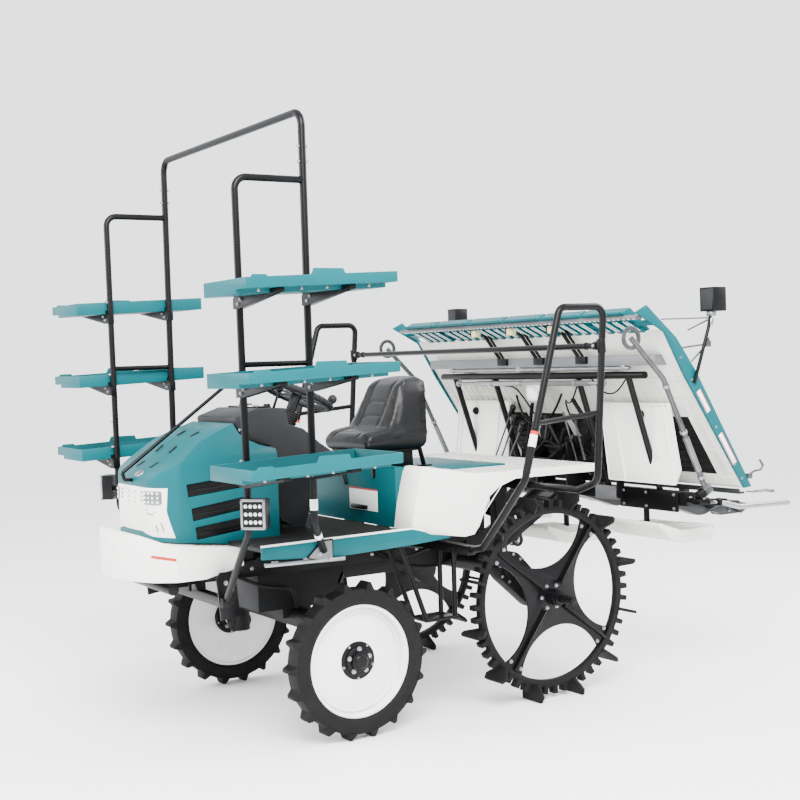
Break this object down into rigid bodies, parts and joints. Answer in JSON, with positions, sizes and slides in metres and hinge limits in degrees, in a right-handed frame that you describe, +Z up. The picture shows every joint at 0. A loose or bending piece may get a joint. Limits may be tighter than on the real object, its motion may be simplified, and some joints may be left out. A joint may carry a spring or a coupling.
{
  "type": "six-row riding rice transplanter",
  "caption": "Riding rice transplanter with seedling racks, lugged wheels and a raised planting unit with a sliding seedling stand.",
  "frame": {"origin": "on the ground under the middle of the machine's length and width", "axes": "+X forward, +Y to the driver's left, +Z up"},
  "size_m": [2.95, 2.2, 2.55],
  "materials": {
    "frame_paint": "satin black frame paint",
    "grey_cast": "cast housings, painted grey",
    "teal_panel": "teal moulded panels",
    "white_panel": "off-white moulded panels",
    "dark_plastic": "dark grey mouldings",
    "tyre": "solid rubber with lugs",
    "disc_white": "white painted wheel discs",
    "seat_black": "black seat cover",
    "zinc": "zinc plated tubes and rods",
    "lamp": "clear lamp lenses",
    "float_white": "off-white moulded floats"
  },
  "bodies": {
    "chassis": {"chassis_frame": "frame_paint", "engine_block": "grey_cast", "gearbox": "grey_cast", "front_axle": "grey_cast", "rear_axle": "grey_cast", "bumper": "white_panel", "console": "dark_plastic", "control_levers": "dark_plastic", "step_floor": "dark_plastic", "floor_skirts": "teal_panel", "boarding_steps": "frame_paint", "seat_base": "teal_panel", "rear_deck": "white_panel", "seat_frame": "frame_paint", "seat": "seat_black", "rack_sides": "frame_paint", "rack_arch": "frame_paint", "shelves": "teal_panel", "shelf_arms": "frame_paint", "work_lamps": "lamp", "hoops": "frame_paint", "guard_rail": "frame_paint"},
    "hood": {"hood_shell": "teal_panel", "hood_fascia": "white_panel", "headlamps": "lamp", "centre_pole": "frame_paint"},
    "steering": {"steering_wheel": "dark_plastic"},
    "swivel_left": {"knuckle_left": "grey_cast"},
    "swivel_right": {"knuckle_right": "grey_cast"},
    "front_wheel_left": {"front_tyre_left": "tyre", "front_disc_left": "disc_white"},
    "front_wheel_right": {"front_tyre_right": "tyre", "front_disc_right": "disc_white"},
    "rear_wheel_left": {"rear_tyre_left": "tyre", "rear_spider_left": "frame_paint"},
    "rear_wheel_right": {"rear_tyre_right": "tyre", "rear_spider_right": "frame_paint"},
    "link_low": {"lower_link": "frame_paint"},
    "link_high": {"upper_link": "frame_paint"},
    "barrel": {"lift_barrel": "frame_paint"},
    "rod": {"lift_rod": "zinc"},
    "planter": {"planter_frame": "frame_paint", "planting_cases": "grey_cast", "mud_covers": "white_panel", "floats": "float_white", "side_guards": "zinc"},
    "stand": {"stand_tray": "float_white", "stand_sides": "teal_panel", "stand_top": "teal_panel", "stand_beam": "zinc", "feed_belts": "tyre", "stand_lamps": "frame_paint"},
    "rotors": {"planting_rotors": "grey_cast"},
    "arm_left": {"marker_left": "zinc"},
    "arm_right": {"marker_right": "zinc"}
  },
  "joints": [
    {"name": "hood_tilt", "type": "hinge", "parent": "chassis", "child": "hood", "pos_m": [0.985, 0, 1.3], "axis": [0, -1, 0], "range_deg": [0, 35]},
    {"name": "steer_left", "type": "hinge", "parent": "chassis", "child": "swivel_left", "pos_m": [0.65, 0.5, 0.32128], "axis": [0, 0, 1], "range_deg": [-40, 40]},
    {"name": "steer_right", "type": "hinge", "parent": "chassis", "child": "swivel_right", "pos_m": [0.65, -0.5, 0.32128], "axis": [0, 0, 1], "range_deg": [-40, 40]},
    {"name": "steering_wheel", "type": "hinge", "parent": "chassis", "child": "steering", "pos_m": [0.565, 0, 1.402], "axis": [-0.4198, 0, 0.9076], "range_deg": [-520, 520]},
    {"name": "spin_front_left", "type": "hinge", "parent": "swivel_left", "child": "front_wheel_left", "pos_m": [0.65, 0.611, 0.32128], "axis": [0, 1, 0], "continuous": true},
    {"name": "spin_front_right", "type": "hinge", "parent": "swivel_right", "child": "front_wheel_right", "pos_m": [0.65, -0.611, 0.32128], "axis": [0, 1, 0], "continuous": true},
    {"name": "spin_rear_left", "type": "hinge", "parent": "chassis", "child": "rear_wheel_left", "pos_m": [-0.378, 0.606, 0.45773], "axis": [0, 1, 0], "continuous": true},
    {"name": "spin_rear_right", "type": "hinge", "parent": "chassis", "child": "rear_wheel_right", "pos_m": [-0.378, -0.606, 0.45773], "axis": [0, 1, 0], "continuous": true},
    {"name": "lift_lower_link", "type": "hinge", "parent": "chassis", "child": "link_low", "pos_m": [-0.43, 0, 0.6], "axis": [0, -1, 0], "range_deg": [0, 65]},
    {"name": "lift_upper_link", "type": "hinge", "parent": "chassis", "child": "link_high", "pos_m": [-0.43, 0, 0.8], "axis": [0, -1, 0], "range_deg": [0, 65]},
    {"name": "planter_level", "type": "hinge", "parent": "link_low", "child": "planter", "pos_m": [-0.915, 0, 0.88001], "axis": [0, -1, 0], "range_deg": [-65, 0]},
    {"name": "cylinder_tilt", "type": "hinge", "parent": "chassis", "child": "barrel", "pos_m": [-0.36, 0, 0.557], "axis": [0, -1, 0], "range_deg": [0, 50.7]},
    {"name": "cylinder_stroke", "type": "slide", "parent": "barrel", "child": "rod", "axis": [-0.9684, 0, 0.2493], "range_m": [-0.0605, 0]},
    {"name": "stand_traverse", "type": "slide", "parent": "planter", "child": "stand", "axis": [0, 1, 0], "range_m": [-0.13, 0.13]},
    {"name": "planting_spin", "type": "hinge", "parent": "planter", "child": "rotors", "pos_m": [-1.345, 0, 0.79], "axis": [0, 1, 0], "continuous": true},
    {"name": "marker_fold_left", "type": "hinge", "parent": "planter", "child": "arm_left", "pos_m": [-0.967, 1, 0.919], "axis": [-0.9031, 0, 0.4295], "range_deg": [0, 95]},
    {"name": "marker_fold_right", "type": "hinge", "parent": "planter", "child": "arm_right", "pos_m": [-0.967, -1, 0.919], "axis": [0.9031, 0, -0.4295], "range_deg": [0, 95]}
  ],
  "couplings": [
    {"joint": "steer_right", "follows": "steer_left", "ratio": 1},
    {"joint": "steering_wheel", "follows": "steer_left", "ratio": 12.5},
    {"joint": "lift_upper_link", "follows": "lift_lower_link", "ratio": 1},
    {"joint": "planter_level", "follows": "lift_lower_link", "ratio": -1},
    {"joint": "cylinder_tilt", "follows": "lift_lower_link", "ratio": 0.7785},
    {"joint": "cylinder_stroke", "follows": "lift_lower_link", "m_per_rad": -0.0529}
  ]
}
